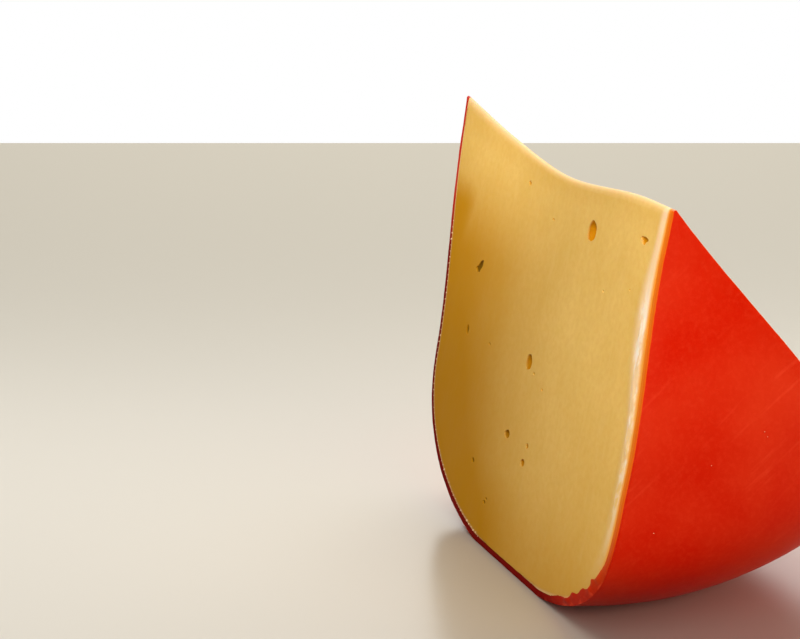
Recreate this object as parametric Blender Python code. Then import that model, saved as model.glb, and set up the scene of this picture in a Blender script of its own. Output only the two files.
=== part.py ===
"""A wedge of semi-hard cheese, cut from a small wax-coated wheel.

The wedge stands on the wheel's rim with its thin edge up, as a cut wedge is often shown.
The wheel's axis lies along Y, flank "near" faces -Y and flank "far" faces +Y. The front cut
faces -X and a little up, the back cut faces +X and up. The wax coat and the cheese inside it
are one solid. The origin is under the middle of the wedge, on the flat spot it rests on.
"""
import math

import bmesh
import bpy
from mathutils import Matrix, Vector

# Wheel: a section through its axis, in metres
WHEEL_RADIUS = 0.080
WHEEL_WIDTH = 0.0957
SHOULDER_RADIUS = 0.0485     # beyond this distance from the axis the flanks round into the rim
FAR_ROUNDNESS = 2.1          # exponent of the far shoulder's superellipse, 2 is an ellipse
NEAR_ROUNDNESS = 3.2         # the near shoulder is squarer
FAR_DOME = 0.0096            # the far flank swells outward towards the axis
NEAR_DISH = 0.0043           # the near flank sinks towards the axis
NEAR_DISH_RADIUS = 0.0076    # and is level inside this distance

# Wedge: angles about the wheel's axis from straight down, positive towards +X, in degrees
FRONT_CUT_ANGLE = -11.3
BACK_CUT_ANGLE = 39.2
FLAT_SPOT_DEPTH = 0.0022     # the rim is pressed flat by this much where the wedge stands

# Thin edge: (distance from the near flank's belly, rise above the wheel's axis), in metres
EDGE_RISE = (
    (0.005, 0.0),
    (0.021, -0.0001),
    (0.050, -0.0024),
    (0.077, 0.0005),
    (0.105, 0.0053),
)
EDGE_REACH = 0.024           # the edge's wave has died out this far from the axis

# Eyes that show: (distance from the near belly, distance from the axis, radius across the
# cut, radius along the wheel's radius), in metres
FRONT_EYES = (
    (0.0349, 0.0100, 0.0014, 0.0017),
    (0.0143, 0.0077, 0.0011, 0.0007),
    (0.0803, 0.0277, 0.0019, 0.0013),
    (0.0499, 0.0398, 0.0010, 0.0013),
    (0.0532, 0.0554, 0.0011, 0.0008),
)
BACK_EYES = (
    (0.0300, 0.0280, 0.0016, 0.0018),
    (0.0660, 0.0170, 0.0012, 0.0012),
    (0.0700, 0.0520, 0.0018, 0.0014),
    (0.0430, 0.0630, 0.0011, 0.0013),
)
EYE_SINK = 0.35              # an eye's centre lies this share of its radius inside the cut

# Fineness of the faceted solid
SHOULDER_STEPS = 15
FLANK_STEPS = 10
TURN_STEPS = 28
CUT_FACE_CELL = 0.006

BELLY_Y = -WHEEL_WIDTH / 2


def clear_scene():
    for thing in list(bpy.data.objects):
        bpy.data.objects.remove(thing, do_unlink=True)


def radial(angle_deg):
    """Unit direction away from the axis, at an angle from straight down towards +X."""
    angle = math.radians(angle_deg)
    return Vector((math.sin(angle), 0.0, -math.cos(angle)))


def smooth_through(points, x):
    """Height at x of a smooth curve through a few points, flat beyond its two ends."""
    if x <= points[0][0]:
        return points[0][1]
    if x >= points[-1][0]:
        return points[-1][1]
    i = max(k for k in range(len(points) - 1) if points[k][0] <= x)

    def slope(k):
        a, b = points[max(k - 1, 0)], points[min(k + 1, len(points) - 1)]
        return (b[1] - a[1]) / (b[0] - a[0])

    (x0, y0), (x1, y1) = points[i], points[i + 1]
    span = x1 - x0
    u = (x - x0) / span
    return ((2 * u**3 - 3 * u**2 + 1) * y0 + (u**3 - 2 * u**2 + u) * span * slope(i)
            + (3 * u**2 - 2 * u**3) * y1 + (u**3 - u**2) * span * slope(i + 1))


def far_flank_y(r):
    """The far flank, which swells outward from its shoulder to the axis."""
    u = 1 - r / SHOULDER_RADIUS
    return WHEEL_WIDTH / 2 + FAR_DOME / 2 * (u + 0.5 - 0.5 * math.cos(math.pi * u))


def near_flank_y(r):
    """The near flank, which is dished round the axis."""
    u = (SHOULDER_RADIUS - r) / (SHOULDER_RADIUS - NEAR_DISH_RADIUS)
    u = min(max(u, 0.0), 1.0)
    return -WHEEL_WIDTH / 2 + NEAR_DISH / 2 * (1 - math.cos(math.pi * u))


def shoulder(side, roundness):
    """Quarter of a superellipse from a flank (side is -1 or +1) to the rim's middle."""
    half = WHEEL_WIDTH / 2
    depth = WHEEL_RADIUS - SHOULDER_RADIUS
    points = []
    for k in range(1, SHOULDER_STEPS + 1):
        turn = math.pi / 2 * k / SHOULDER_STEPS
        y = side * half * math.cos(turn) ** (2 / roundness)
        r = SHOULDER_RADIUS + depth * math.sin(turn) ** (2 / roundness)
        points.append((y, r))
    return points


def wheel_outline():
    """(y, r) from the axis down the near flank, round the rim and back up the far flank."""
    steps = [SHOULDER_RADIUS * k / FLANK_STEPS for k in range(FLANK_STEPS + 1)]
    near = [(near_flank_y(r), r) for r in steps]
    far = [(far_flank_y(r), r) for r in reversed(steps)]
    near_shoulder = shoulder(-1, NEAR_ROUNDNESS)
    far_shoulder = shoulder(1, FAR_ROUNDNESS)
    return near + near_shoulder + far_shoulder[-2::-1] + far


def spun_sector():
    """The wheel's skin turned from the front cut to the back cut, closed by two cut faces."""
    bm = bmesh.new()
    front = radial(FRONT_CUT_ANGLE)
    verts = [bm.verts.new(Vector((0, y, 0)) + r * front) for y, r in wheel_outline()]
    edges = [bm.edges.new(pair) for pair in zip(verts, verts[1:])]
    bmesh.ops.spin(
        bm, geom=verts + edges, cent=(0, 0, 0), axis=(0, -1, 0), dvec=(0, 0, 0),
        angle=math.radians(BACK_CUT_ANGLE - FRONT_CUT_ANGLE), steps=TURN_STEPS,
        use_merge=False, use_normal_flip=False, use_duplicate=False)
    bmesh.ops.remove_doubles(bm, verts=bm.verts[:], dist=1e-6)
    on_axis = [v for v in bm.verts if math.hypot(v.co.x, v.co.z) < 1e-6]
    thin_edge = bm.edges.new(on_axis)
    open_edges = [e for e in bm.edges if len(e.link_faces) == 1]
    middle = (FRONT_CUT_ANGLE + BACK_CUT_ANGLE) / 2
    across = radial(middle + 90)
    for side in (-1, 1):
        rim = [e for e in open_edges
               if side * sum((v.co.dot(across) for v in e.verts), 0.0) > 0]
        bmesh.ops.contextual_create(bm, geom=rim + [thin_edge])
    bmesh.ops.recalc_face_normals(bm, faces=bm.faces[:])
    return bm


def slice_cut_faces(bm):
    """Divides both cut faces into strips, so that they can follow the thin edge's wave."""
    rows = int(EDGE_REACH / CUT_FACE_CELL)
    columns = int((WHEEL_WIDTH + FAR_DOME) / CUT_FACE_CELL)
    planes = [((0, 0, -k * CUT_FACE_CELL), (0, 0, 1)) for k in range(1, rows + 1)]
    planes += [((0, BELLY_Y + k * CUT_FACE_CELL, 0), (0, 1, 0)) for k in range(1, columns + 1)]
    for cut_angle, outward in ((FRONT_CUT_ANGLE, -90), (BACK_CUT_ANGLE, 90)):
        normal = radial(cut_angle + outward)
        for point, direction in planes:
            faces = [f for f in bm.faces if f.normal.dot(normal) > 0.9999]
            edges = {e for f in faces for e in f.edges}
            verts = {v for f in faces for v in f.verts}
            bmesh.ops.bisect_plane(
                bm, geom=[*verts, *edges, *faces], dist=1e-6, plane_co=point, plane_no=direction)


def bend_thin_edge(bm):
    """Moves the thin edge along the front cut's plane, the back cut following it."""
    front = radial(FRONT_CUT_ANGLE)
    for v in bm.verts:
        r = math.hypot(v.co.x, v.co.z)
        if r < EDGE_REACH:
            fade = (1 - r / EDGE_REACH) ** 2
            v.co -= front * fade * smooth_through(EDGE_RISE, v.co.y - BELLY_Y)


def press_flat_spot(bm):
    """Cuts the rim level where it stands, and puts the origin on that flat spot."""
    level = FLAT_SPOT_DEPTH - WHEEL_RADIUS
    geometry = bm.verts[:] + bm.edges[:] + bm.faces[:]
    cut = bmesh.ops.bisect_plane(
        bm, geom=geometry, dist=1e-6, plane_co=(0, 0, level), plane_no=(0, 0, -1),
        clear_outer=True)
    bmesh.ops.holes_fill(bm, edges=[e for e in cut["geom_cut"] if isinstance(e, bmesh.types.BMEdge)])
    xs = [v.co.x for v in bm.verts]
    ys = [v.co.y for v in bm.verts]
    middle = Vector(((min(xs) + max(xs)) / 2, (min(ys) + max(ys)) / 2, level))
    bmesh.ops.translate(bm, verts=bm.verts[:], vec=-middle)
    return middle


def wax_and_cheese():
    material = bpy.data.materials.new("red_wax")
    material.use_nodes = True
    shader = material.node_tree.nodes["Principled BSDF"]
    shader.inputs["Base Color"].default_value = (0.71, 0.045, 0.012, 1)
    shader.inputs["Roughness"].default_value = 0.3
    return material


def eye_cutter(name, cut_angle, outward, eye, middle):
    """A closed egg that takes one gas hole out of a cut face."""
    along, r, half_across, half_along = eye
    size = Vector((min(half_across, half_along), half_across, half_along))
    out = radial(cut_angle + outward)
    across = Vector((0, 1, 0))
    turn = Matrix((out, across, out.cross(across))).transposed().to_4x4()
    on_cut = Vector((0, BELLY_Y + along, 0)) + r * radial(cut_angle)
    place = on_cut - out * EYE_SINK * size.x - middle
    bm = bmesh.new()
    bmesh.ops.create_icosphere(bm, subdivisions=2, radius=1)
    bmesh.ops.scale(bm, verts=bm.verts[:], vec=size)
    bmesh.ops.transform(bm, verts=bm.verts[:], matrix=Matrix.Translation(place) @ turn)
    cutter = add_object(name, bm)
    cutter.hide_render = True
    cutter.display_type = "WIRE"
    return cutter


def add_object(name, bm):
    bmesh.ops.triangulate(bm, faces=bm.faces[:])
    mesh = bpy.data.meshes.new(name)
    bm.to_mesh(mesh)
    bm.free()
    thing = bpy.data.objects.new(name, mesh)
    bpy.context.scene.collection.objects.link(thing)
    return thing


def cheese_wedge():
    bm = spun_sector()
    slice_cut_faces(bm)
    bend_thin_edge(bm)
    middle = press_flat_spot(bm)
    wedge = add_object("cheese_wedge", bm)
    wedge.data.materials.append(wax_and_cheese())
    wedge.data.shade_smooth()
    wedge.data.set_sharp_from_angle(angle=math.radians(35))
    holes = [(FRONT_CUT_ANGLE, -90, eye) for eye in FRONT_EYES]
    holes += [(BACK_CUT_ANGLE, 90, eye) for eye in BACK_EYES]
    for number, (cut_angle, outward, eye) in enumerate(holes, 1):
        cut = wedge.modifiers.new(f"eye_{number}", "BOOLEAN")
        cut.operation = "DIFFERENCE"
        cut.solver = "EXACT"
        cut.object = eye_cutter(f"eye_cutter_{number}", cut_angle, outward, eye, middle)


clear_scene()
cheese_wedge()
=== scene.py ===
import math

import bmesh
import bpy
from mathutils import Matrix, Vector, noise
from mathutils.kdtree import KDTree


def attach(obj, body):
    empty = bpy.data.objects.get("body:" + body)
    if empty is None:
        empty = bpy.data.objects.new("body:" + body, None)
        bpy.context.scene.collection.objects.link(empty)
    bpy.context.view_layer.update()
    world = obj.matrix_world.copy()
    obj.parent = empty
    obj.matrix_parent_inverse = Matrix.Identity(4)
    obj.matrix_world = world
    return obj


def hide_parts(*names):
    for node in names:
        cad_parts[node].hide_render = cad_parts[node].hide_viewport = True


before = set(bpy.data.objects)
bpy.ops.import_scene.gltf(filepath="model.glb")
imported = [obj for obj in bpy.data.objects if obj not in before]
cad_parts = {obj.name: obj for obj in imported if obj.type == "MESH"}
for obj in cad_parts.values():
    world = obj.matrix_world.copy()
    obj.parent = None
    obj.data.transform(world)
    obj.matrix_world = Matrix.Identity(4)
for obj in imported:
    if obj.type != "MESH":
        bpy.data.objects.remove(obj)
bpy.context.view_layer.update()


# Camera. A 99 mm lens about 0.4 m from the wedge, 15 degrees above level and 20 degrees to the
# left of square on to the near flank, so that the front cut is seen at a glancing angle.
HEADING = math.radians(-20)
camera_data = bpy.data.cameras.new("camera")
camera_data.lens = 99
camera_data.sensor_width = 36
camera_data.clip_start = 0.01
camera = bpy.data.objects.new("camera", camera_data)
camera.location = (-0.188995, -0.379304, 0.157130)
camera.rotation_euler = (math.radians(75), 0, HEADING)
bpy.context.scene.collection.objects.link(camera)
bpy.context.scene.camera = camera


# Cheese. The body of semi-hard cheese, pressed in a round mould and cut from the wheel with a
# knife. It is the wheel's section without the wax, turned about the wheel's axis from the front
# cut to the back cut, with gas eyes, a rounded thin edge and a rough lip where the knife left.
WHEEL_RADIUS = 0.080
WHEEL_WIDTH = 0.0957
SHOULDER_RADIUS = 0.0485     # beyond this distance from the axis the flanks round into the rim
FAR_ROUNDNESS = 2.1          # exponent of the far shoulder's superellipse, 2 is an ellipse
NEAR_ROUNDNESS = 3.2
FAR_DOME = 0.0096            # the far flank swells outward towards the axis
NEAR_DISH = 0.0043           # the near flank sinks towards the axis
NEAR_DISH_RADIUS = 0.0076    # and is level inside this distance
FRONT_CUT_ANGLE = -11.3      # degrees from straight down, positive towards +X
BACK_CUT_ANGLE = 39.2
FLAT_SPOT_DEPTH = 0.0022     # the rim is pressed flat by this much where the wedge stands
# Thin edge: (distance from the near flank's belly, rise above the wheel's axis)
EDGE_RISE = (
    (0.005, 0.0),
    (0.021, -0.0001),
    (0.050, -0.0024),
    (0.077, 0.0005),
    (0.105, 0.0053),
)
EDGE_REACH = 0.024           # the thin edge's wave has died out this far from the axis
TIP_RADIUS = 0.0006          # the thin edge is rounded
WAX = 0.0013                 # thickness of the wax coat
AXIS_PLACE = Vector((-0.017508, -0.0048, WHEEL_RADIUS - FLAT_SPOT_DEPTH))
BELLY_Y = -WHEEL_WIDTH / 2
# The near flank leans in beside the front cut, and less so with the distance from its belly
# along the wheel's axis, from the cut's plane and from the axis
LEAN_IN = 0.0019
LEAN_ALONG = (0.004, 0.024)
LEAN_DEPTH = 0.030
LEAN_RADIUS = (0.050, 0.077)
# Fineness of the mesh: cells on the cuts, and finer rings beside the wax
FLANK_STEPS = 80
SHOULDER_STEPS = 160
OUTLINE_STEP = 0.0008
FINE_OUTLINE_STEP = 0.00012
PASTE_STEPS = 24
CUT_CELL = 0.0008
TIP_CELL = 0.00015
TIP_CELLS = 4
FIRST_COLUMN = -0.050
COLUMNS = 131
RING = 0.0003
RINGS = 10


def radial(angle_deg):
    """Unit direction away from the wheel's axis, at an angle from straight down towards +X."""
    angle = math.radians(angle_deg)
    return Vector((math.sin(angle), 0.0, -math.cos(angle)))


FRONT_DOWN = radial(FRONT_CUT_ANGLE)
FRONT_OUT = radial(FRONT_CUT_ANGLE - 90)
BACK_DOWN = radial(BACK_CUT_ANGLE)
BACK_OUT = radial(BACK_CUT_ANGLE + 90)


def smooth_step(x, low, high):
    """0 below low, 1 above high, and a smooth rise between them."""
    u = min(max((x - low) / (high - low), 0.0), 1.0)
    return u * u * (3 - 2 * u)


def hump(x, rise, fall):
    """A smooth rise from 0 to 1 over one span, and back to 0 over another."""
    return smooth_step(x, *rise) * (1 - smooth_step(x, *fall))


def smooth_through(points, x):
    """Height at x of a smooth curve through a few points, flat beyond its two ends."""
    if x <= points[0][0]:
        return points[0][1]
    if x >= points[-1][0]:
        return points[-1][1]
    i = max(k for k in range(len(points) - 1) if points[k][0] <= x)

    def slope(k):
        a, b = points[max(k - 1, 0)], points[min(k + 1, len(points) - 1)]
        return (b[1] - a[1]) / (b[0] - a[0])

    (x0, y0), (x1, y1) = points[i], points[i + 1]
    span = x1 - x0
    u = (x - x0) / span
    return ((2 * u**3 - 3 * u**2 + 1) * y0 + (u**3 - 2 * u**2 + u) * span * slope(i)
            + (3 * u**2 - 2 * u**3) * y1 + (u**3 - u**2) * span * slope(i + 1))


def evenly(points, step):
    """The same line with its points about one step apart."""
    lengths = [math.dist(a, b) for a, b in zip(points, points[1:])]
    count = round(sum(lengths) / step)
    step = sum(lengths) / count
    placed = [points[0]]
    done, k = 0.0, 0
    for n in range(1, count):
        while done + lengths[k] < n * step:
            done += lengths[k]
            k += 1
        u = (n * step - done) / lengths[k]
        placed.append(tuple(a + u * (b - a) for a, b in zip(points[k], points[k + 1])))
    return placed + [points[-1]]


def shoulder(side, roundness):
    """Quarter of a superellipse from a flank (side is -1 or +1) to the rim's middle."""
    points = []
    for k in range(1, SHOULDER_STEPS + 1):
        turn = math.pi / 2 * k / SHOULDER_STEPS
        y = side * WHEEL_WIDTH / 2 * math.cos(turn) ** (2 / roundness)
        r = SHOULDER_RADIUS + (WHEEL_RADIUS - SHOULDER_RADIUS) * math.sin(turn) ** (2 / roundness)
        points.append((y, r))
    return points


def wheel_outline(inset, step):
    """(y, r) from the axis down the near flank, round the rim and back up the far flank."""
    near, far = [], []
    for k in range(FLANK_STEPS + 1):
        r = SHOULDER_RADIUS * k / FLANK_STEPS
        u = min(max((SHOULDER_RADIUS - r) / (SHOULDER_RADIUS - NEAR_DISH_RADIUS), 0.0), 1.0)
        near.append((BELLY_Y + NEAR_DISH / 2 * (1 - math.cos(math.pi * u)), r))
        u = 1 - r / SHOULDER_RADIUS
        far.append((-BELLY_Y + FAR_DOME / 2 * (u + 0.5 - 0.5 * math.cos(math.pi * u)), r))
    line = near + shoulder(-1, NEAR_ROUNDNESS) + shoulder(1, FAR_ROUNDNESS)[-2::-1] + far[::-1]
    line = evenly(line, step)
    moved = []
    for k, (y, r) in enumerate(line):
        (y0, r0), (y1, r1) = line[max(k - 1, 0)], line[min(k + 1, len(line) - 1)]
        length = math.hypot(y1 - y0, r1 - r0)
        moved.append((y + inset * (r1 - r0) / length, max(r - inset * (y1 - y0) / length, 0.0)))
    return moved


def section_of(insets, step):
    """A bmesh of the wheel's section in the front cut, as bands between its outlines at the
    insets, and the outline at the last inset."""
    bm = bmesh.new()
    layers = []
    for inset in insets:
        layers.append([bm.verts.new(Vector((0, y, 0)) + r * FRONT_DOWN)
                       for y, r in wheel_outline(inset, step)])
    for one, two in zip(layers, layers[1:]):
        for k in range(len(one) - 1):
            bm.faces.new((one[k], one[k + 1], two[k + 1], two[k]))
    return bm, layers[-1]


def divide(bm, direction, levels):
    """Cuts all faces along planes at some levels along a direction."""
    for level in levels:
        bmesh.ops.bisect_plane(bm, geom=bm.verts[:] + bm.edges[:] + bm.faces[:], dist=1e-7,
                               plane_co=direction * level, plane_no=direction)


def turn_section(bm, steps):
    """Turns the section about the wheel's axis to the back cut, as a closed solid."""
    section = bm.verts[:] + bm.edges[:] + bm.faces[:]
    skin = [e for e in bm.edges if len(e.link_faces) == 1
            and max(math.hypot(v.co.x, v.co.z) for v in e.verts) > 1e-7]
    turn = math.radians(BACK_CUT_ANGLE - FRONT_CUT_ANGLE)
    back = bmesh.ops.duplicate(bm, geom=section)["geom"]
    bmesh.ops.rotate(bm, verts=[v for v in back if isinstance(v, bmesh.types.BMVert)],
                     cent=(0, 0, 0), matrix=Matrix.Rotation(turn, 3, (0, -1, 0)))
    bmesh.ops.spin(
        bm, geom=list(dict.fromkeys(v for e in skin for v in e.verts)) + skin, cent=(0, 0, 0),
        axis=(0, -1, 0), dvec=(0, 0, 0), angle=turn, steps=steps, use_merge=False,
        use_normal_flip=False, use_duplicate=False)
    bmesh.ops.remove_doubles(bm, verts=bm.verts[:], dist=1e-6)
    bmesh.ops.recalc_face_normals(bm, faces=bm.faces[:])


def wheel_relief(co):
    """Where a point of the plain wedge lies on the finished one: its thin edge is rounded and
    bent, and the near flank leans in a little towards the front cut."""
    pulled = 1 - smooth_step(co.y - BELLY_Y, *LEAN_ALONG)
    pulled *= smooth_step(co.dot(FRONT_OUT), -LEAN_DEPTH, 0.0)
    pulled *= 1 - smooth_step(math.hypot(co.x, co.z), *LEAN_RADIUS)
    co = co + Vector((0, LEAN_IN * pulled, 0))
    middle = radial((FRONT_CUT_ANGLE + BACK_CUT_ANGLE) / 2)
    half = math.radians((BACK_CUT_ANGLE - FRONT_CUT_ANGLE) / 2)
    centre = Vector((0, co.y, 0)) + middle * (TIP_RADIUS / math.sin(half))
    away = co - centre
    r = math.hypot(co.x, co.z)
    if r < TIP_RADIUS / math.tan(half) and away.length > TIP_RADIUS:
        co = centre + away.normalized() * TIP_RADIUS
        r = math.hypot(co.x, co.z)
    if r < EDGE_REACH:
        co = co - FRONT_DOWN * (1 - r / EDGE_REACH) ** 2 * smooth_through(EDGE_RISE, co.y - BELLY_Y)
    return co


def press_flat(co, level):
    """Pulls a point that is lower than the level up to it, towards the wheel's axis."""
    if co.z < level:
        return Vector((co.x * level / co.z, co.y, level))
    return co


# The distance from any point of the section to the wheel's outline
outer_line = wheel_outline(0.0, FINE_OUTLINE_STEP)
outline_tree = KDTree(len(outer_line))
for number, point in enumerate(outer_line):
    outline_tree.insert(Vector((0, *point)), number)
outline_tree.balance()

paste, inner = section_of([WAX + RING * k for k in range(RINGS + 1)], OUTLINE_STEP)
paste.faces.new(inner)
divide(paste, Vector((0, 1, 0)), [FIRST_COLUMN + k * CUT_CELL for k in range(COLUMNS)])
divide(paste, FRONT_DOWN, [k * TIP_CELL for k in range(1, TIP_CELLS + 1)])
divide(paste, FRONT_DOWN, [k * CUT_CELL for k in range(1, int(WHEEL_RADIUS / CUT_CELL))])
turn_section(paste, PASTE_STEPS)

# Gas eyes: (along the cut from the near belly, distance from the axis, half across, half down,
# lean in radians). A lobe widens an eye that has been taken out already.
FRONT_EYES = (
    (0.0349, 0.0100, 0.0017, 0.0022, -0.10),
    (0.0131, 0.0076, 0.0017, 0.0005, 0.0),
    (0.0812, 0.0277, 0.0018, 0.0008, -0.80),
    (0.0499, 0.0398, 0.0013, 0.0016, -0.15),
    (0.0532, 0.0554, 0.0012, 0.0009, -0.2),
    (0.0441, 0.0585, 0.0009, 0.0008, -0.3),
    (0.0812, 0.0412, 0.0006, 0.0010, -0.2),
    (0.0654, 0.0066, 0.0006, 0.0005, 0.0),
    (0.0435, 0.0549, 0.0006, 0.0006, 0.0),
    (0.0567, 0.0700, 0.0005, 0.0003, 0.0),
    (0.0692, 0.0412, 0.0005, 0.0003, 0.0),
    (0.0573, 0.0709, 0.0006, 0.0004, 0.0),
    (0.0663, 0.0649, 0.0007, 0.0005, 0.0),
    (0.0468, 0.0413, 0.0004, 0.0003, 0.0),
    (0.0420, 0.0432, 0.0004, 0.0003, 0.0),
    (0.0519, 0.0111, 0.0005, 0.0003, 0.0),
    (0.0257, 0.0198, 0.0003, 0.0003, 0.0),
    (0.0149, 0.0172, 0.0003, 0.0002, 0.0),
)
FRONT_LOBES = (
    (0.0131, 0.0080, 0.0009, 0.0006, 0.0),
    (0.0819, 0.0285, 0.0012, 0.0006, 0.10),
)
BACK_EYES = (
    (0.0300, 0.0280, 0.0016, 0.0018, 0.2),
    (0.0660, 0.0170, 0.0012, 0.0012, -0.3),
    (0.0700, 0.0520, 0.0018, 0.0014, 0.0),
    (0.0430, 0.0630, 0.0011, 0.0013, 0.4),
    (0.0240, 0.0480, 0.0006, 0.0008, 0.0),
    (0.0560, 0.0350, 0.0005, 0.0006, 0.0),
)
EYE_SINK = 0.15       # an eye's centre lies this share of its depth inside the cut
EYE_DEPTH = 0.75      # its half depth is this share of its smaller half width
EYE_UNEVEN = 0.14     # and its sides wander by this share


def add_eye(bm, down, out, eye):
    """Adds a closed uneven egg that takes one gas eye out of a cut face."""
    along, r, half_across, half_down, lean = eye
    across = Vector((0, 1, 0))
    egg = bmesh.ops.create_icosphere(bm, subdivisions=4, radius=1)["verts"]
    for v in egg:
        v.co *= 1 + EYE_UNEVEN * noise.noise(v.co * 1.2 + Vector((along, r, 0)) * 900)
    depth = EYE_DEPTH * min(half_across, half_down)
    size = Matrix.Diagonal((depth, half_across, half_down, 1))
    turn = Matrix((out, across, -down)).transposed().to_4x4() @ Matrix.Rotation(lean, 4, "X")
    place = Vector((0, BELLY_Y + along, 0)) + r * down - out * EYE_SINK * depth
    bmesh.ops.transform(bm, verts=egg, matrix=Matrix.Translation(place) @ turn @ size)
    bmesh.ops.recalc_face_normals(bm, faces=list({f for v in egg for f in v.link_faces}))


def add_piece(name, bm):
    """A mesh object made from a bmesh, in the scene."""
    mesh = bpy.data.meshes.new(name)
    bm.to_mesh(mesh)
    bm.free()
    piece = bpy.data.objects.new(name, mesh)
    bpy.context.scene.collection.objects.link(piece)
    return piece


cheese = add_piece("cheese_paste", paste)
for front_eyes, back_eyes in ((FRONT_EYES, BACK_EYES), (FRONT_LOBES, ())):
    eggs = bmesh.new()
    for eye in front_eyes:
        add_eye(eggs, FRONT_DOWN, FRONT_OUT, eye)
    for eye in back_eyes:
        add_eye(eggs, BACK_DOWN, BACK_OUT, eye)
    eye_cutters = add_piece("eye_cutters", eggs)
    cut = cheese.modifiers.new("eyes", "BOOLEAN")
    cut.operation = "DIFFERENCE"
    cut.solver = "MANIFOLD"
    cut.object = eye_cutters
    bpy.context.view_layer.update()
    with_eyes = bpy.data.meshes.new_from_object(
        cheese.evaluated_get(bpy.context.evaluated_depsgraph_get()))
    cheese.modifiers.clear()
    cheese.data = with_eyes
    bpy.data.objects.remove(eye_cutters)


# Relief of the cuts: heights in metres, and how many waves there are per metre across and down
KNIFE_WAVE_HEIGHT = 0.00010
KNIFE_WAVES = (55, 30)
DRAG_HEIGHT = 0.000018
DRAG_LINES = (420, 22)
SWELL_HEIGHT = 0.00012
CRUMB_HEIGHT = 0.00028
COARSE_CRUMBS = (520, 300)
FINE_CRUMBS = (1300, 900)
FINE_CRUMB_SHARE = 0.6
TURN_DEPTH = 0.00010
# Spans of smooth steps: y from the middle of the wheel, and distances from the axis
NEAR_SIDE = (0.028, 0.039)
NEAR_END = (0.058, 0.074)
TORN_START, TORN_END = (0.010, 0.024), (0.036, 0.068)
WIDE_START, WIDE_END = (0.006, 0.020), (0.024, 0.042)
NARROW_BAND = 0.6
# Spans of smooth steps: distances from the wax
SWELL_RISE, SWELL_FALL = (0.0, 0.0014), (0.0027, 0.0062)
BREAK_RISE, BREAK_FALL = (0.0003, 0.0015), (0.0024, 0.0064)
TURN_DOWN = (WAX - 0.0002, WAX + 0.0008)


def unevenness(y, r, per_metre, seed):
    """Smooth noise on a cut face, with some waves per metre across and down it."""
    across, down = per_metre
    return noise.noise(Vector((y * across, r * down, seed)))


def cut_relief(y, r, seed):
    """Height of the knife's marks on a cut face: long low waves and finer drag lines."""
    return (KNIFE_WAVE_HEIGHT * unevenness(y, r, KNIFE_WAVES, seed)
            + DRAG_HEIGHT * unevenness(y, r, DRAG_LINES, seed + 5))


def near_share(y, r):
    """1 on the part of a cut next to the near flank, 0 elsewhere."""
    return smooth_step(-y, *NEAR_SIDE) * (1 - smooth_step(r, *NEAR_END))


def torn_share(y, r):
    """1 where the cut's near edge has broken up, along the middle of the near flank."""
    return near_share(y, r) * hump(r, TORN_START, TORN_END)


def from_wax(edge, r):
    """Distance from the wax, drawn out where the dried band along the near edge is narrower."""
    wide = hump(r, WIDE_START, WIDE_END)
    return (edge - WAX) / (NARROW_BAND + (1 - NARROW_BAND) * wide)


def edge_height(y, r, edge, seed):
    """Height of a cut's outermost few millimetres: it turns down at the wax, swells a little
    before it, and is crumbly where it has broken up."""
    away = from_wax(edge, r)
    crumbs = abs(unevenness(y, r, COARSE_CRUMBS, seed))
    crumbs += FINE_CRUMB_SHARE * abs(unevenness(y, r, FINE_CRUMBS, seed))
    swell = hump(away, SWELL_RISE, SWELL_FALL) * near_share(y, r)
    broken = hump(away, BREAK_RISE, BREAK_FALL) * torn_share(y, r) * crumbs
    turned = 1 - smooth_step(edge, *TURN_DOWN)
    return SWELL_HEIGHT * swell + CRUMB_HEIGHT * broken - TURN_DEPTH * turned


# The relief and the colour shares of each point. Spans of smooth steps: distances from the axis,
# from the wax and from a cut's plane, and y for the deeper gold and painted shade towards the far
# flank.
CUT_REACH = 0.004
PAST_AXIS = -0.001
FADE_DEPTH = (0.002, 0.004)
RELIEF_START = (0.0004, 0.003)
EDGE_START = (0.0, 0.002)
PALE_TIP = (0.0005, 0.0021)
PALE_RISE, PALE_FALL = (0.0, 0.0011), (0.0024, 0.0060)
PALE_LESS = (0.030, 0.056)
PALE_RIM = (WAX + 0.0001, WAX + 0.0007)
BLEED_SPAN = (0.0, 0.0013)
FLAKE_RISE, FLAKE_FALL = (0.0003, 0.0013), (0.0024, 0.0040)
HOLLOW_DEPTH = (0.00002, 0.0004)
BESIDE_WAX = WAX + 0.0004
FAR_SIDE, FAR_START = (-0.017, 0.045), (0.005, 0.028)
FAR_RIM, FAR_RIM_START = (0.034, 0.047), (0.008, 0.018)
BEHIND_FRONT = (0.003, 0.012)
LOW_START, RIM_START = (0.030, 0.078), (0.060, 0.077)
GOLD_RISE, GOLD_FALL = (0.0014, 0.0026), (0.0035, 0.0065)
# How strong the shares are, and how much of one is lost where something else reduces it
TIP_PAINTED_GLOW, RIM_PALE, PALE_LOSS = 0.7, 0.5, 0.75
FAR_SHADE_LEAST, BEHIND_SHADE_LOSS = 0.15, 0.6
LOW_GOLD_AND_SHADE, RIM_GOLD_AND_SHADE, TIP_DEEP = 0.35, 0.30, 0.10

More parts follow.
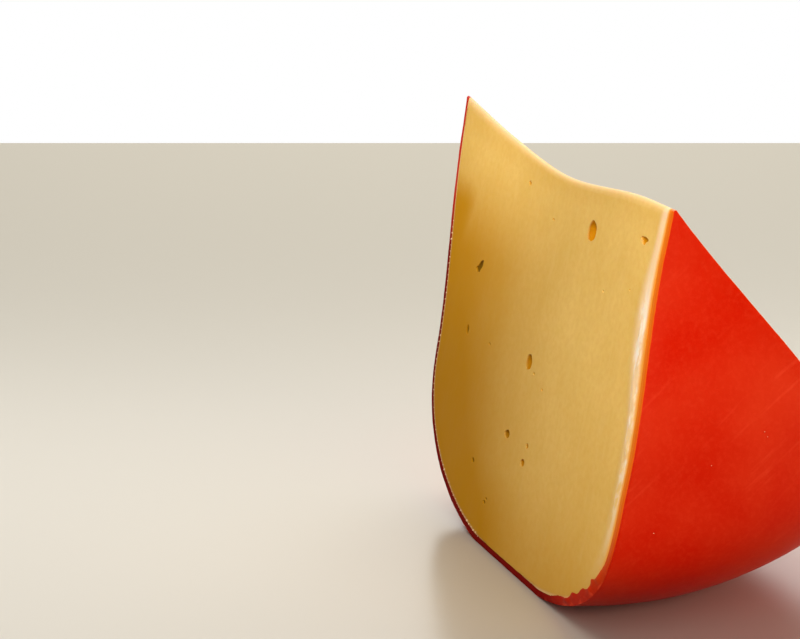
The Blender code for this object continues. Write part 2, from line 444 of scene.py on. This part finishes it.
shares = {"pale_and_painted_light": [], "gold_and_painted_shade": [], "torn": [], "hollow": [], "bleed": []}
for v in cheese.data.vertices:
    co = v.co.copy()
    axis_r = math.hypot(co.x, co.z)
    # Painted light: the thin edge is painted paler, as if lit through it.
    pale_and_painted_light = TIP_PAINTED_GLOW * (1 - smooth_step(axis_r, *PALE_TIP))
    torn = bleed = 0.0
    shallowest = math.inf
    for down, out, seed in ((FRONT_DOWN, FRONT_OUT, 1.0), (BACK_DOWN, BACK_OUT, 31.0)):
        depth = -co.dot(out)
        r = co.dot(down)
        if depth > CUT_REACH or r < PAST_AXIS:
            continue
        fade = 1 - smooth_step(depth, *FADE_DEPTH)
        edge = outline_tree.find(Vector((0, co.y, r)))[2]
        height = cut_relief(co.y, r, seed) * smooth_step(r, *RELIEF_START)
        height += edge_height(co.y, r, edge, seed) * smooth_step(r, *EDGE_START)
        v.co += out * height * fade
        # Along the near edge, the dried band is painted paler, with a painted highlight on its
        # swell.
        near = near_share(co.y, r)
        away = from_wax(edge, r)
        band = near * hump(away, PALE_RISE, PALE_FALL)
        band *= 1 - PALE_LOSS * smooth_step(r, *PALE_LESS)
        band += RIM_PALE * (1 - near) * (1 - smooth_step(edge, *PALE_RIM))
        pale_and_painted_light = max(pale_and_painted_light, band * fade)
        bleed = max(bleed, near * fade * (1 - smooth_step(away, *BLEED_SPAN)))
        torn = max(torn, torn_share(co.y, r) * fade * hump(away, FLAKE_RISE, FLAKE_FALL))
        if edge > BESIDE_WAX:
            shallowest = min(shallowest, max(depth, 0.0))
    # Painted shade towards the far flank and its rim, less at the thin edge and on the back cut.
    far = FAR_SHADE_LEAST + (1 - FAR_SHADE_LEAST) * smooth_step(axis_r, *FAR_START)
    far *= smooth_step(co.y, *FAR_SIDE)
    far = max(far, smooth_step(co.y, *FAR_RIM) * smooth_step(axis_r, *FAR_RIM_START))
    far *= 1 - BEHIND_SHADE_LOSS * smooth_step(-co.dot(FRONT_OUT), *BEHIND_FRONT)
    # Deeper towards the rim: partly the rind's own gold, partly painted shade.
    low = LOW_GOLD_AND_SHADE * smooth_step(axis_r, *LOW_START) + RIM_GOLD_AND_SHADE * smooth_step(axis_r, *RIM_START)
    golden = TIP_DEEP * hump(axis_r, GOLD_RISE, GOLD_FALL)
    by_a_cut = shallowest < math.inf
    shares["pale_and_painted_light"].append(pale_and_painted_light)
    shares["gold_and_painted_shade"].append(min(1.0, far + low + golden))
    shares["torn"].append(torn)
    shares["hollow"].append(smooth_step(shallowest, *HOLLOW_DEPTH) if by_a_cut else 0.0)
    shares["bleed"].append(bleed)
    v.co = press_flat(wheel_relief(v.co), FLAT_SPOT_DEPTH + WAX - WHEEL_RADIUS) + AXIS_PLACE
for name, values in shares.items():
    cheese.data.attributes.new(name, "FLOAT", "POINT").data.foreach_set("value", values)
cheese.data.shade_smooth()
cheese.data.set_sharp_from_angle(angle=math.radians(50))


def srgb(code):
    """A hex colour as linear red, green, blue and alpha."""
    channels = [int(code[k:k + 2], 16) / 255 for k in (1, 3, 5)]
    return (*(c / 12.92 if c <= 0.04045 else ((c + 0.055) / 1.055) ** 2.4 for c in channels), 1)


def add_node(tree, kind, settings=None, links=None):
    """Adds a node, sets its properties or sockets, and links sockets to (node, output)."""
    node = tree.nodes.new(kind)
    for key, value in (settings or {}).items():
        if isinstance(key, str) and hasattr(node, key):
            setattr(node, key, value)
        else:
            node.inputs[key].default_value = value
    for key, (source, output) in (links or {}).items():
        tree.links.new(source.outputs[output], node.inputs[key])
    return node


def noise_scale(millimetres):
    """The scale of a noise texture whose patches are about so many millimetres wide, to two
    figures."""
    return float(f"{1000 / millimetres:.2g}")


def new_material(name):
    """An empty material with nodes, and its node tree."""
    material = bpy.data.materials.new(name)
    material.use_nodes = True
    material.node_tree.nodes.clear()
    return material, material.node_tree


# Semi-hard cheese, cut with a knife: fine, dense and a little moist, so it is softly shiny, and
# light goes a few millimetres into it. It is paler where it has dried at an edge and a deeper gold
# towards the rind; over that, painted light through the thin edge, a painted highlight on the near
# edge's band, painted shade towards the far flank and rim, and shaded eye hollows.
cheese_material, tree = new_material("semi_hard_cheese")
place = add_node(tree, "ShaderNodeTexCoord")
along_cut = add_node(tree, "ShaderNodeMapping", {"Rotation": (0, math.radians(FRONT_CUT_ANGLE), 0)},
                     {"Vector": (place, "Object")})
streak_scale = add_node(tree, "ShaderNodeMapping", {"Scale": (1, 1, 0.16)},
                        {"Vector": (along_cut, "Vector")})
streaks = add_node(tree, "ShaderNodeTexNoise",
                   {"Scale": noise_scale(1.92), "Detail": 4, "Roughness": 0.6},
                   {"Vector": (streak_scale, "Vector")})
clouds = add_node(tree, "ShaderNodeTexNoise", {"Scale": noise_scale(11.1), "Detail": 3},
                  {"Vector": (place, "Object")})
grain = add_node(tree, "ShaderNodeTexNoise",
                 {"Scale": noise_scale(0.667), "Detail": 3, "Roughness": 0.7},
                 {"Vector": (place, "Object")})
cloud_share = add_node(tree, "ShaderNodeMapRange",
                       {"From Min": 0.3, "From Max": 0.7, "To Min": 0.0, "To Max": 1.0},
                       {"Value": (clouds, "Fac")})
clouded = add_node(tree, "ShaderNodeMix",
                   {"data_type": "RGBA", 6: srgb("#EEC56E"), 7: srgb("#E6BC64")},
                   {0: (cloud_share, "Result")})
speckle = add_node(tree, "ShaderNodeTexNoise",
                   {"Scale": noise_scale(1.25), "Detail": 2, "Roughness": 0.6},
                   {"Vector": (place, "Object")})
speckle_share = add_node(tree, "ShaderNodeMapRange",
                         {"From Min": 0.35, "From Max": 0.65, "To Min": 0.0, "To Max": 0.30},
                         {"Value": (speckle, "Fac")})
speckled = add_node(tree, "ShaderNodeMix", {"data_type": "RGBA", 7: srgb("#DDA94C")},
                    {0: (speckle_share, "Result"), 6: (clouded, 2)})
streak_share = add_node(tree, "ShaderNodeMapRange",
                        {"From Min": 0.50, "From Max": 0.75, "To Min": 0.0, "To Max": 0.30},
                        {"Value": (streaks, "Fac")})
streak_here = add_node(tree, "ShaderNodeMath", {"operation": "MULTIPLY"},
                       {0: (streak_share, "Result"), 1: (cloud_share, "Result")})
streaked = add_node(tree, "ShaderNodeMix", {"data_type": "RGBA", 7: srgb("#F2CF86")},
                    {0: (streak_here, "Value"), 6: (speckled, 2)})
# Deeper gold: partly the rind's own tone, partly painted shade towards the far flank and the rim.
gold_shade_share = add_node(tree, "ShaderNodeAttribute", {"attribute_name": "gold_and_painted_shade"})
deep_gold_and_shade = add_node(tree, "ShaderNodeMix", {"data_type": "RGBA", 7: srgb("#C08400")},
                {0: (gold_shade_share, "Fac"), 6: (streaked, 2)})
# Paler: painted light through the thin edge, and a painted highlight on the near edge's dried band.
pale_lit_share = add_node(tree, "ShaderNodeAttribute", {"attribute_name": "pale_and_painted_light"})
creamed = add_node(tree, "ShaderNodeMix", {"data_type": "RGBA", 7: srgb("#F7D2A2")},
                   {0: (pale_lit_share, "Fac"), 6: (deep_gold_and_shade, 2)})
bleed_share = add_node(tree, "ShaderNodeAttribute", {"attribute_name": "bleed"})
bled = add_node(tree, "ShaderNodeMix", {"data_type": "RGBA", 7: srgb("#EE9638")},
                {0: (bleed_share, "Fac"), 6: (creamed, 2)})
torn_here = add_node(tree, "ShaderNodeAttribute", {"attribute_name": "torn"})
flake_scale = add_node(tree, "ShaderNodeMapping", {"Scale": (1, 1, 0.45)},
                       {"Vector": (along_cut, "Vector")})
flakes = add_node(tree, "ShaderNodeTexNoise",
                  {"Scale": noise_scale(2.38), "Detail": 3, "Roughness": 0.6},
                  {"Vector": (flake_scale, "Vector")})
flake_share = add_node(tree, "ShaderNodeMapRange",
                       {"From Min": 0.42, "From Max": 0.54, "To Min": 0.0, "To Max": 1.0},
                       {"Value": (flakes, "Fac")})
flaked = add_node(tree, "ShaderNodeMath", {"operation": "MULTIPLY"},
                  {0: (torn_here, "Fac"), 1: (flake_share, "Result")})
dried = add_node(tree, "ShaderNodeMix", {"data_type": "RGBA", 7: srgb("#FFF0DC")},
                 {0: (flaked, "Value"), 6: (bled, 2)})
hollow_share = add_node(tree, "ShaderNodeAttribute", {"attribute_name": "hollow"})
# Eye hollows: a darker orange gold, painted shade warmed as if lit through the cheese, and darker
# still towards the far flank.
hollow_shade_and_glow = add_node(tree, "ShaderNodeMix",
                       {"data_type": "RGBA", 6: srgb("#C48208"), 7: srgb("#6A4A06")},
                       {0: (gold_shade_share, "Fac")})
hollowed = add_node(tree, "ShaderNodeMix", {"data_type": "RGBA"},
                    {0: (hollow_share, "Fac"), 6: (dried, 2), 7: (hollow_shade_and_glow, 2)})
relief = add_node(tree, "ShaderNodeMath", {"operation": "ADD"},
                  {0: (streaks, "Fac"), 1: (grain, "Fac")})
bump = add_node(tree, "ShaderNodeBump", {"Strength": 0.4, "Distance": 0.00006},
                {"Height": (relief, "Value")})
rough = add_node(tree, "ShaderNodeMapRange",
                 {"From Min": 0.3, "From Max": 0.7, "To Min": 0.42, "To Max": 0.56},
                 {"Value": (clouds, "Fac")})
cheese_shader = add_node(
    tree, "ShaderNodeBsdfPrincipled",
    {"IOR": 1.45, "Specular IOR Level": 0.12, "Specular Tint": srgb("#FFDC96"),
     "Subsurface Weight": 0.2, "Subsurface Radius": (1.0, 0.5, 0.15),
     "Subsurface Scale": 0.0012},
    {"Base Color": (hollowed, 2), "Roughness": (rough, "Result"), "Normal": (bump, "Normal")})
add_node(tree, "ShaderNodeOutputMaterial", None, {"Surface": (cheese_shader, "BSDF")})
cheese.data.materials.clear()
cheese.data.materials.append(cheese_material)
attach(cheese, "root")
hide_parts("cheese_wedge")


# Wax coat. The wheel was dipped in melted red cheese wax, which set into a skin about 1.3 mm
# thick on the rim and both flanks. It is a band between the wheel's outline and the cheese,
# turned like the cheese, with cut edges that are a little rounded and uneven.
WAX_STEP = 0.0004
TURN_STEPS = 42
WAX_LAYERS = 4
# Depths behind the cuts at which the coat is divided, for its rounded edge and the groove
CUT_SLICES = (0.0001, 0.00025, 0.00038, 0.0005, 0.00062, 0.0008, 0.0012, 0.002)
SKIN = 0.00015               # anything nearer to the wheel's outline is the coat's outside
# Cut edges: how far they lie back from the cut and are rounded, and spans of smooth steps by
# the depth behind the cut
SET_BACK = 0.00008
UNEVEN_HEIGHT = 0.00006
EDGE_WAVES, FINE_EDGE_WAVES, FINE_EDGE_SHARE = (260, 260), (900, 900), 0.5
ROUNDED, ROUNDED_WIDTH = 0.00010, 0.0004
SMEAR_ROUNDED, SMEAR_ROUNDED_WIDTH = 0.00025, 0.0004
AT_CUT = (0.0, 0.0005)
BESIDE_CUT = (0.001, 0.003)
# The groove that the knife pressed into the coat's outside beside each cut
GROOVE_PLACE = 0.00050
GROOVE_WIDTH = 0.00010
GROOVE_DEPTH = 0.00012
GROOVE_SPAN = (0.0002, 0.0009)
GROOVE_START, GROOVE_END = (0.034, 0.046), (0.064, 0.070)
TIP_CLEAR = 0.010
# The smear: where it lies, how far it reaches over the cheese and how high it stands
SMEAR_START = (0.0645, 0.068)
SMEAR_SIDE = (0.022, 0.034)
SMEAR_REACH = 0.0011
SMEAR_LEAST, SMEAR_MEAN, SMEAR_SPREAD = 0.15, 0.55, 0.9
SMEAR_HEIGHT, SMEAR_LUMPS = 0.00010, 0.00040
SMEAR_WAVES, FINE_SMEAR_WAVES = (380, 380), (900, 900)
FINE_SHARE = 0.35            # the finer noise counts this much, here and in the dents
# Colour shares of the cut edges, painted glow, shade and highlights: how fast they fade behind the
# cut, and where they show
FACE_DEPTH = 0.00006
GLOW_OUTSIDE = 0.55          # the glow's share at the coat's outside, 1 is at the cheese
GLOW_LESS, GLOW_LOSS = (0.050, 0.066), 0.6
DARK_LOSS = 0.75
SHADE_START = (0.014, 0.030)
LIP_DEPTH = 0.00015
LIP_WIDTH = 0.00022
LIP_START = (0.066, 0.074)
SMEAR_LIP, SMEAR_LIP_SHARE = (0.0004, 0.0010), 0.8
# Soft dents over the outside, in metres deep and per metre
DENT_DEPTH = 0.00009
DENTS, FINE_DENTS = 55, 190

wax_bm, _ = section_of([WAX * k / WAX_LAYERS for k in range(WAX_LAYERS + 1)], WAX_STEP)
turn_section(wax_bm, TURN_STEPS)
for out in (FRONT_OUT, BACK_OUT):
    divide(wax_bm, out, [-depth for depth in CUT_SLICES])
wax = add_piece("wax_coat", wax_bm)


def smear_share(y, r):
    """1 at the wheel's lower near corner, where the knife has dragged wax over the cheese."""
    return smooth_step(r, *SMEAR_START) * smooth_step(-y, *SMEAR_SIDE)


wax_shares = {"painted_glow_share": [], "painted_shade_share": [], "lip_highlight_share": []}
for v, normal in zip(wax.data.vertices, [n.vector.copy() for n in wax.data.vertex_normals]):
    co = v.co.copy()
    share = shade = lip = beside_cut = 0.0
    for down, out, seed in ((FRONT_DOWN, FRONT_OUT, 1.0), (BACK_DOWN, BACK_OUT, 31.0)):
        depth = -co.dot(out)
        r = co.dot(down)
        if depth > CUT_REACH or r < PAST_AXIS:
            continue
        beside_cut = max(beside_cut, 1 - smooth_step(depth, *BESIDE_CUT))
        nearest, _, edge = outline_tree.find(Vector((0, co.y, r)))
        inner = smooth_step(edge, 0.0, WAX)
        smeared = smear_share(co.y, r)
        at_cut = 1 - smooth_step(depth, *AT_CUT)
        uneven = unevenness(co.y, r, EDGE_WAVES, seed + 9)
        uneven += FINE_EDGE_SHARE * unevenness(co.y, r, FINE_EDGE_WAVES, seed + 3)
        corner = ROUNDED + SMEAR_ROUNDED * smeared
        corner *= 1 - smooth_step(edge, 0.0, ROUNDED_WIDTH + SMEAR_ROUNDED_WIDTH * smeared)
        back = SET_BACK + corner + UNEVEN_HEIGHT * uneven
        v.co -= out * back * at_cut * smooth_step(r, *EDGE_START)
        if edge < SKIN and GROOVE_SPAN[0] < depth < GROOVE_SPAN[1] and r > TIP_CLEAR:
            groove = math.exp(-((depth - GROOVE_PLACE) / GROOVE_WIDTH) ** 2)
            v.co -= normal * GROOVE_DEPTH * groove * hump(r, GROOVE_START, GROOVE_END)
        smear = smeared * at_cut * inner
        if smear > 0 and edge > 1e-5:
            ragged = unevenness(co.y, r, SMEAR_WAVES, seed + 50)
            ragged += FINE_SHARE * unevenness(co.y, r, FINE_SMEAR_WAVES, seed + 60)
            inward = (Vector((0, co.y, r)) - nearest) / edge
            reach = SMEAR_REACH * max(SMEAR_LEAST, SMEAR_MEAN + SMEAR_SPREAD * ragged) * smear
            v.co += Vector((0, inward.y, 0)) * reach + down * inward.z * reach
            v.co += out * smear * (SMEAR_HEIGHT + SMEAR_LUMPS * abs(ragged))
        # Painted glow on the near thin cut edge, painted shade on the other cut edges, painted
        # highlights on the lips.
        near = near_share(co.y, r)
        face = math.exp(-depth / FACE_DEPTH)
        glow = near * (1 - GLOW_LOSS * smooth_step(r, *GLOW_LESS))
        glow *= GLOW_OUTSIDE + (1 - GLOW_OUTSIDE) * inner
        share = max(share, face * glow)
        dark = (1 - near) * (1 - DARK_LOSS * smooth_step(-co.y, *SMEAR_SIDE))
        shade = max(shade, face * dark * smooth_step(r, *SHADE_START))
        lips = smooth_step(r, *LIP_START) * math.exp(-(edge / LIP_WIDTH) ** 2)
        lips = max(lips, SMEAR_LIP_SHARE * smeared * (1 - smooth_step(edge, *SMEAR_LIP)))
        lip = max(lip, math.exp(-depth / LIP_DEPTH) * lips)
    wax_shares["painted_glow_share"].append(share)
    wax_shares["painted_shade_share"].append(shade)
    wax_shares["lip_highlight_share"].append(lip)
    nearest, _, edge = outline_tree.find(Vector((0, co.y, math.hypot(co.x, co.z))))
    if edge < SKIN:
        dents = noise.noise(co * DENTS) + FINE_SHARE * noise.noise(co * FINE_DENTS)
        v.co -= normal * DENT_DEPTH * (1 + dents) * (1 - beside_cut)
    rim_level = FLAT_SPOT_DEPTH - WHEEL_RADIUS + WAX * smooth_step(edge, 0.0, WAX)
    v.co = press_flat(wheel_relief(v.co), rim_level) + AXIS_PLACE
for name, values in wax_shares.items():
    wax.data.attributes.new(name, "FLOAT", "POINT").data.foreach_set("value", values)
wax.data.shade_smooth()
wax.data.set_sharp_from_angle(angle=math.radians(50))

# Paraffin and microcrystalline cheese wax, dyed red: smooth from the dip and softly glossy. Its cut
# edge is painted orange on the near side as light through the thin wax, dark red elsewhere as
# shade, and lighter on the torn lips as highlights.
wax_material, tree = new_material("red_cheese_wax")
place = add_node(tree, "ShaderNodeTexCoord")
mottle = add_node(tree, "ShaderNodeTexNoise",
                  {"Scale": noise_scale(26.3), "Detail": 4, "Roughness": 0.55},
                  {"Vector": (place, "Object")})
mottle_share = add_node(tree, "ShaderNodeMapRange",
                        {"From Min": 0.35, "From Max": 0.68, "To Min": 0.0, "To Max": 1.0},
                        {"Value": (mottle, "Fac")})
red = add_node(tree, "ShaderNodeMix",
               {"data_type": "RGBA", 6: srgb("#C01600"), 7: srgb("#CA2C0E")},
               {0: (mottle_share, "Result")})
across_scuffs = add_node(tree, "ShaderNodeMapping", {"Rotation": (0, math.radians(40), 0)},
                         {"Vector": (place, "Object")})
scuff_scale = add_node(tree, "ShaderNodeMapping", {"Scale": (0.10, 1, 1)},
                       {"Vector": (across_scuffs, "Vector")})
scuffs = add_node(tree, "ShaderNodeTexNoise",
                  {"Scale": noise_scale(1.11), "Detail": 2, "Roughness": 0.5},
                  {"Vector": (scuff_scale, "Vector")})
scuff_share = add_node(tree, "ShaderNodeMapRange",
                       {"From Min": 0.60, "From Max": 0.76, "To Min": 0.0, "To Max": 0.35},
                       {"Value": (scuffs, "Fac")})
scuff_here = add_node(tree, "ShaderNodeMath", {"operation": "MULTIPLY"},
                      {0: (scuff_share, "Result"), 1: (mottle_share, "Result")})
bloom = add_node(tree, "ShaderNodeTexNoise",
                 {"Scale": noise_scale(0.909), "Detail": 3, "Roughness": 0.7},
                 {"Vector": (place, "Object")})
bloom_share = add_node(tree, "ShaderNodeMapRange",
                       {"From Min": 0.45, "From Max": 0.70, "To Min": 0.0, "To Max": 0.22},
                       {"Value": (bloom, "Fac")})
bloomed = add_node(tree, "ShaderNodeMix", {"data_type": "RGBA", 7: srgb("#D63A1E")},
                   {0: (bloom_share, "Result"), 6: (red, 2)})
scuffed = add_node(tree, "ShaderNodeMix", {"data_type": "RGBA", 7: srgb("#E0482A")},
                   {0: (scuff_here, "Value"), 6: (bloomed, 2)})
# Painted shade: the cut edges away from the near side are darker red.
shade_share = add_node(tree, "ShaderNodeAttribute", {"attribute_name": "painted_shade_share"})
shaded = add_node(tree, "ShaderNodeMix", {"data_type": "RGBA", 7: srgb("#7A0400")},
                  {0: (shade_share, "Fac"), 6: (scuffed, 2)})
# Painted highlights: lighter orange red on the ridges of the torn lips and the smear.
lip_here = add_node(tree, "ShaderNodeAttribute", {"attribute_name": "lip_highlight_share"})
ridges = add_node(tree, "ShaderNodeTexNoise",
                  {"Scale": noise_scale(2.08), "Detail": 2, "Roughness": 0.5},
                  {"Vector": (place, "Object")})
ridge_share = add_node(tree, "ShaderNodeMapRange",
                       {"From Min": 0.50, "From Max": 0.62, "To Min": 0.0, "To Max": 0.6},
                       {"Value": (ridges, "Fac")})
ridge_here = add_node(tree, "ShaderNodeMath", {"operation": "MULTIPLY"},
                      {0: (lip_here, "Fac"), 1: (ridge_share, "Result")})
ridge_highlights = add_node(tree, "ShaderNodeMix", {"data_type": "RGBA", 7: srgb("#EC5030")},
                  {0: (ridge_here, "Value"), 6: (shaded, 2)})
# Painted glow: the near side's thin cut edge is orange, as if lit through the wax.
edge_glow_share = add_node(tree, "ShaderNodeAttribute", {"attribute_name": "painted_glow_share"})
glowing = add_node(tree, "ShaderNodeMix", {"data_type": "RGBA", 7: srgb("#EE7E10")},
                   {0: (edge_glow_share, "Fac"), 6: (ridge_highlights, 2)})
ripple = add_node(tree, "ShaderNodeTexNoise",
                  {"Scale": noise_scale(6.25), "Detail": 4, "Roughness": 0.6},
                  {"Vector": (place, "Object")})
wax_bump = add_node(tree, "ShaderNodeBump", {"Strength": 0.25, "Distance": 0.0003},
                    {"Height": (ripple, "Fac")})
dipped_rough = add_node(tree, "ShaderNodeMapRange",
                        {"From Min": 0.3, "From Max": 0.7, "To Min": 0.30, "To Max": 0.42},
                        {"Value": (mottle, "Fac")})
wax_rough = add_node(tree, "ShaderNodeMix", {"data_type": "FLOAT", 3: 0.85},
                     {0: (shade_share, "Fac"), 2: (dipped_rough, "Result")})
wax_shader = add_node(
    tree, "ShaderNodeBsdfPrincipled",
    {"IOR": 1.43, "Specular IOR Level": 0.18, "Specular Tint": srgb("#FFA08C"),
     "Subsurface Weight": 0.12, "Subsurface Radius": (1.0, 0.15, 0.05),
     "Subsurface Scale": 0.0010},
    {"Base Color": (glowing, 2), "Roughness": (wax_rough, 0), "Normal": (wax_bump, "Normal")})
add_node(tree, "ShaderNodeOutputMaterial", None, {"Surface": (wax_shader, "BSDF")})
wax.data.materials.append(wax_material)
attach(wax, "root")
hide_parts("cheese_wedge")


# Crumbs. Bits of cheese that the knife tore off and that have dried pale: a broken line of them
# along the far edge of the front cut, and a few stuck to the near flank. Each is an uneven lump.
FAR_CRUMB_REACH = (0.022, 0.0795)   # the far line runs between these distances from the axis
FAR_CRUMB_GAP = 11                  # and has a crumb at every so many points of the outline
SMALLEST_CRUMB, CRUMB_SPREAD = 0.00009, 0.00022
LEAST_INSET, INSET_SPREAD = 0.0002, 0.0007
FAR_CRUMB_SINK = 0.00002
FLANK_CRUMB_SINK = 0.00018
CRUMB_UNEVEN = 0.6
# On the near flank: (x, height, half width)
FLANK_CRUMBS = (
    (-0.0224, 0.0205, 0.00007),
    (-0.0116, 0.0319, 0.00006),
    (0.0052, 0.0326, 0.00007),
    (-0.0012, 0.0370, 0.00007),
    (-0.0006, 0.0360, 0.00005),
    (0.0120, 0.0190, 0.00007),
)


def add_crumb(bm, place, size, seed):
    """Adds one uneven lump."""
    lump = bmesh.ops.create_icosphere(bm, subdivisions=2, radius=1)["verts"]
    for v in lump:
        lumpy = 1 + CRUMB_UNEVEN * noise.noise(v.co * 1.4 + Vector((seed, 0, 0)))
        v.co = place + v.co * size * lumpy


crumb_bm = bmesh.new()
lowest, highest = FAR_CRUMB_REACH
far_line = [(y, r) for y, r in outer_line if y > 0 and lowest < r < highest]
for number, (y, r) in enumerate(far_line[::FAR_CRUMB_GAP]):
    jitter = noise.noise(Vector((number * 1.7, 4.0, 0.0)))
    size = SMALLEST_CRUMB + CRUMB_SPREAD * abs(noise.noise(Vector((number * 2.3, 9.0, 0.0))))
    inset = WAX + LEAST_INSET + INSET_SPREAD * abs(jitter)
    nearer_axis = 1 - inset / math.hypot(y, r)
    place = Vector((0, y * nearer_axis, 0)) + r * nearer_axis * FRONT_DOWN
    place -= FAR_CRUMB_SINK * FRONT_OUT
    add_crumb(crumb_bm, wheel_relief(place) + AXIS_PLACE, size, number)
for x, z, size in FLANK_CRUMBS:
    crumb_r = math.hypot(x - AXIS_PLACE.x, z - AXIS_PLACE.z)
    y = min((abs(r - crumb_r), y) for y, r in outer_line if y < -0.02)[1]
    add_crumb(crumb_bm, Vector((x, y + AXIS_PLACE.y + FLANK_CRUMB_SINK, z)), size, x * 900)
crumbs = add_piece("crumbs", crumb_bm)
crumbs.data.shade_smooth()

# Dried cheese: matt, paler and pinker than the fresh cut.
crumb_material, tree = new_material("dried_cheese")
place = add_node(tree, "ShaderNodeTexCoord")
dry_noise = add_node(tree, "ShaderNodeTexNoise", {"Scale": noise_scale(0.833), "Detail": 2},
                     {"Vector": (place, "Object")})
dry = add_node(tree, "ShaderNodeMix",
               {"data_type": "RGBA", 6: srgb("#D9A878"), 7: srgb("#F2D6B0")},
               {0: (dry_noise, "Fac")})
crumb_shader = add_node(tree, "ShaderNodeBsdfPrincipled", {"Roughness": 0.6, "IOR": 1.45},
                        {"Base Color": (dry, 2)})
add_node(tree, "ShaderNodeOutputMaterial", None, {"Surface": (crumb_shader, "BSDF")})
crumbs.data.materials.append(crumb_material)
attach(crumbs, "root")
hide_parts("cheese_wedge")


# Table. A pale glazed top whose far edge is straight and square to the camera's heading.
FAR_EDGE = 0.855       # from the camera, along its heading
TABLE_HALF = 1.5
table_bm = bmesh.new()
bmesh.ops.create_grid(table_bm, x_segments=1, y_segments=1, size=TABLE_HALF)
bmesh.ops.transform(
    table_bm, verts=table_bm.verts[:],
    matrix=Matrix.Translation((camera.location.x, camera.location.y, 0))
    @ Matrix.Rotation(HEADING, 4, "Z") @ Matrix.Translation((0, FAR_EDGE - TABLE_HALF, 0)))
table = add_piece("table", table_bm)
table_material, tree = new_material("pale_glazed_table")
table_shader = add_node(tree, "ShaderNodeBsdfPrincipled",
                        {"Base Color": srgb("#EAE3D2"), "Roughness": 0.22, "IOR": 1.5})
add_node(tree, "ShaderNodeOutputMaterial", None, {"Surface": (table_shader, "BSDF")})
table.data.materials.append(table_material)


# Studio light. A small soft box close to the near top corner, which shines on the wedge alone,
# makes the front cut fade towards its far side. A second one in front lights the near flank, and
# a large one behind and above lights the table, so that the wedge's shadow falls forward.
bpy.context.scene.view_settings.view_transform = "Standard"
wedge_only = bpy.data.collections.new("wedge_only")
for piece in (cheese, wax, crumbs):
    wedge_only.objects.link(piece)
table_only = bpy.data.collections.new("table_only")
table_only.objects.link(table)


def add_soft_box(name, place, target, size, power, colour, receivers=None):
    """A square area light that shines from one point towards another, on some receivers only
    if they are given. The table's own light leaves no reflection in its glaze."""
    data = bpy.data.lights.new(name, "AREA")
    data.shape = "SQUARE"
    data.size = size
    data.energy = power
    data.color = srgb(colour)[:3]
    box = bpy.data.objects.new(name, data)
    box.location = place
    box.rotation_euler = (Vector(target) - Vector(place)).to_track_quat("-Z", "Y").to_euler()
    box.visible_camera = False
    bpy.context.scene.collection.objects.link(box)
    if receivers:
        box.light_linking.receiver_collection = receivers
        box.visible_glossy = receivers != table_only


add_soft_box("key", (-0.12, -0.17, 0.20), (-0.02, -0.02, 0.04), 0.10, 0.56, "#FFF9F0", wedge_only)
add_soft_box("front", (0.40, -0.34, 0.12), (0.0, -0.05, 0.04), 0.20, 1.7, "#FFF9F0", wedge_only)
add_soft_box("back", (0.18, 0.50, 0.55), (0.0, -0.05, 0.0), 0.90, 5.5, "#FFFCF6")
add_soft_box("bounce", (0.16, -0.42, 0.16), (0.03, -0.08, 0.0), 0.25, 0.36, "#FFDCCB", table_only)
tip_data = bpy.data.lights.new("tip", "SPOT")
tip_data.energy = 2.2
tip_data.spot_size = math.radians(15)
tip_data.spot_blend = 1.0
tip_data.shadow_soft_size = 0.02
tip_light = bpy.data.objects.new("tip", tip_data)
tip_light.location = (-0.32, -0.04, 0.22)
tip_light.rotation_euler = (
    Vector((-0.018, 0.036, 0.080)) - tip_light.location).to_track_quat("-Z", "Y").to_euler()
bpy.context.scene.collection.objects.link(tip_light)
tip_light.light_linking.receiver_collection = wedge_only
world = bpy.data.worlds.new("studio")
world.use_nodes = True
tree = world.node_tree
tree.nodes.clear()
ray = add_node(tree, "ShaderNodeLightPath")
shade = add_node(tree, "ShaderNodeMix",
                 {"data_type": "RGBA", 6: (0.20, 0.20, 0.20, 1), 7: (1, 1, 1, 1)},
                 {0: (ray, "Is Camera Ray")})
sky = add_node(tree, "ShaderNodeBackground", {"Strength": 1.0}, {"Color": (shade, 2)})
add_node(tree, "ShaderNodeOutputWorld", None, {"Surface": (sky, "Background")})
bpy.context.scene.world = world
